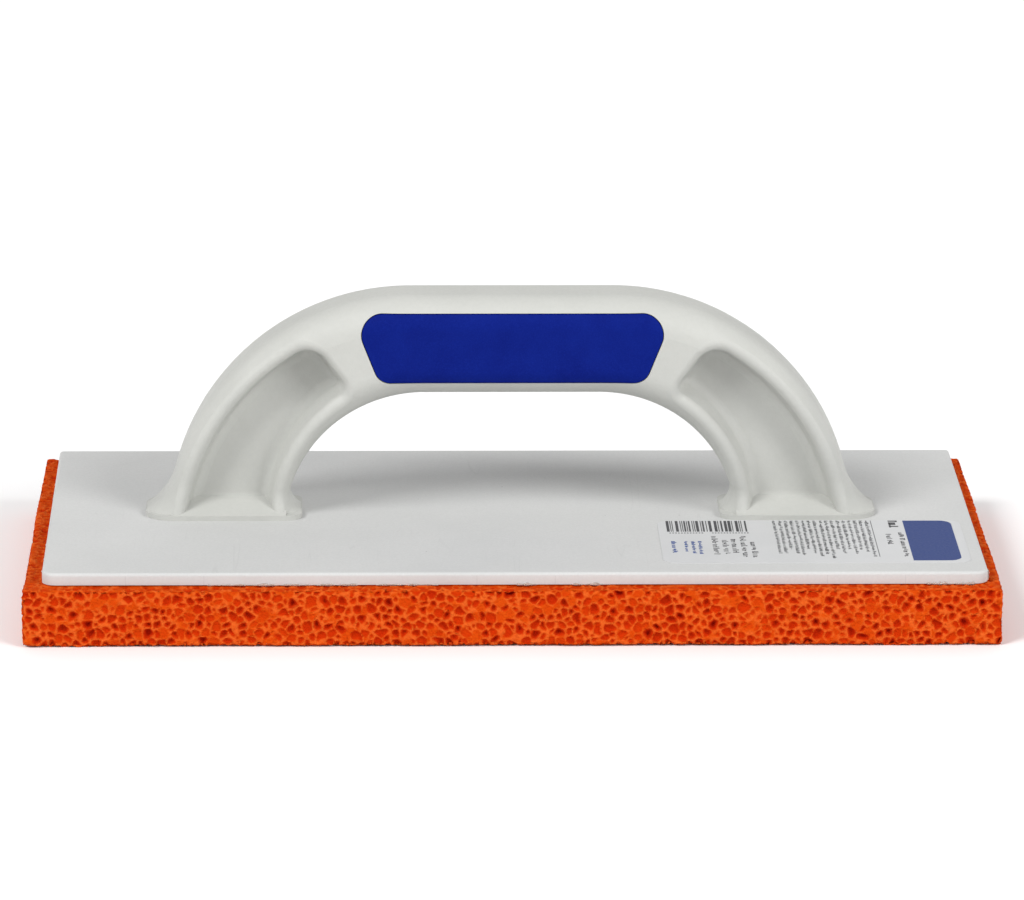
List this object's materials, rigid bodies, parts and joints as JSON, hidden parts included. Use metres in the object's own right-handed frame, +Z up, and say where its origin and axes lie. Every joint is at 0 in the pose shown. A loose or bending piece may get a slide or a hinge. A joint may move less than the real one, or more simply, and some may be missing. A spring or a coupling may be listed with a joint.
{
  "type": "sponge grout float",
  "caption": "Flat rectangular float with an arched, side-pocketed grip on a rigid backing plate and a thick open-cell sponge under it.",
  "frame": {"origin": "centre of the sponge's working face, the flat face that the tool rests and works on", "axes": "+X along the tool's length, +Y across it, away from the side that carries the label, and +Z up through the grip"},
  "size_m": [0.28, 0.14, 0.0872],
  "materials": {
    "sponge": "matte",
    "adhesive": "gloss",
    "plate_plastic": "satin",
    "handle_plastic": "satin",
    "soft_grip": "matte",
    "screw_steel": "satin",
    "label_film": "gloss"
  },
  "bodies": {
    "root": {"sponge_pad": "sponge", "adhesive_layer": "adhesive", "backing_plate": "plate_plastic", "handle_body": "handle_plastic", "grip_insert_front": "soft_grip", "grip_insert_rear": "soft_grip", "handle_screws": "screw_steel", "product_label": "label_film"}
  },
  "joints": []
}
